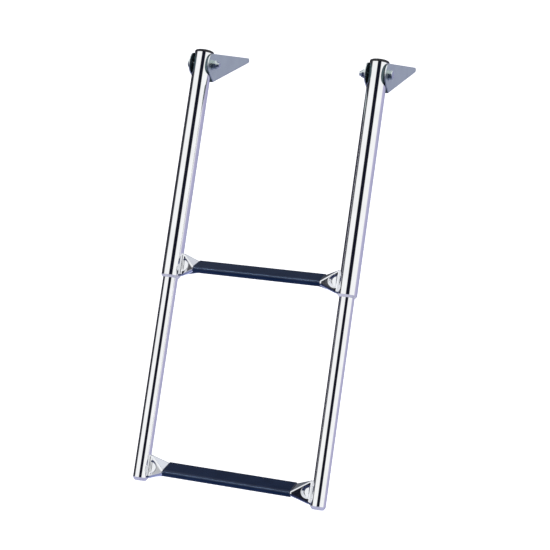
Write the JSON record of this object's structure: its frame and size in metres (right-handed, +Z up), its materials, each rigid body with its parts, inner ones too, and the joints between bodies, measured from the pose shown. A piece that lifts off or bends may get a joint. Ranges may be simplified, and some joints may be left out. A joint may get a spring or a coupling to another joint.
{
  "type": "boat boarding ladder",
  "caption": "Telescoping stainless boarding ladder with dark tread covers that hangs from hinged deck brackets and folds over a swim platform.",
  "frame": {"origin": "on the deck plane under the brackets, midway between them and straight below the hinge axis", "axes": "+X across the ladder to the right of someone facing the boat, +Y back over the deck, +Z up; the ladder hangs down and out towards -Y"},
  "size_m": [0.3604, 0.4986, 0.662],
  "materials": {
    "bracket_steel": "satin stainless sheet",
    "fastener_steel": "bright stainless",
    "outer_tube_steel": "mirror polished stainless",
    "inner_tube_steel": "mirror polished stainless",
    "black_plastic": "glossy black",
    "pale_nylon": "pale grey, slightly translucent",
    "rung_steel": "polished stainless",
    "tread_plastic": "dark navy, soft sheen",
    "weld_steel": "passivated weld bead",
    "foot_plastic": "pale grey"
  },
  "bodies": {
    "brackets": {"left_bracket": "bracket_steel", "right_bracket": "bracket_steel", "left_pivot_bolt": "fastener_steel", "right_pivot_bolt": "fastener_steel", "left_lock_nut": "fastener_steel", "right_lock_nut": "fastener_steel", "left_washers": "fastener_steel", "right_washers": "fastener_steel"},
    "upper_section": {"left_outer_tube": "outer_tube_steel", "right_outer_tube": "outer_tube_steel", "left_top_cap": "black_plastic", "right_top_cap": "black_plastic", "left_guide_collar": "pale_nylon", "right_guide_collar": "pale_nylon", "upper_rung": "rung_steel", "upper_tread": "tread_plastic", "upper_welds": "weld_steel"},
    "lower_section": {"left_inner_tube": "inner_tube_steel", "right_inner_tube": "inner_tube_steel", "left_guide_plug": "pale_nylon", "right_guide_plug": "pale_nylon", "lower_rung": "rung_steel", "lower_tread": "tread_plastic", "lower_welds": "weld_steel", "left_foot_plug": "foot_plastic", "right_foot_plug": "foot_plastic"}
  },
  "joints": [
    {"name": "fold", "type": "hinge", "parent": "brackets", "child": "upper_section", "pos_m": [0, 0, 0.031], "axis": [-1, 0, 0], "range_deg": [0, 243]},
    {"name": "telescope", "type": "slide", "parent": "upper_section", "child": "lower_section", "axis": [0, 0.454, 0.891], "range_m": [0, 0.29]}
  ]
}
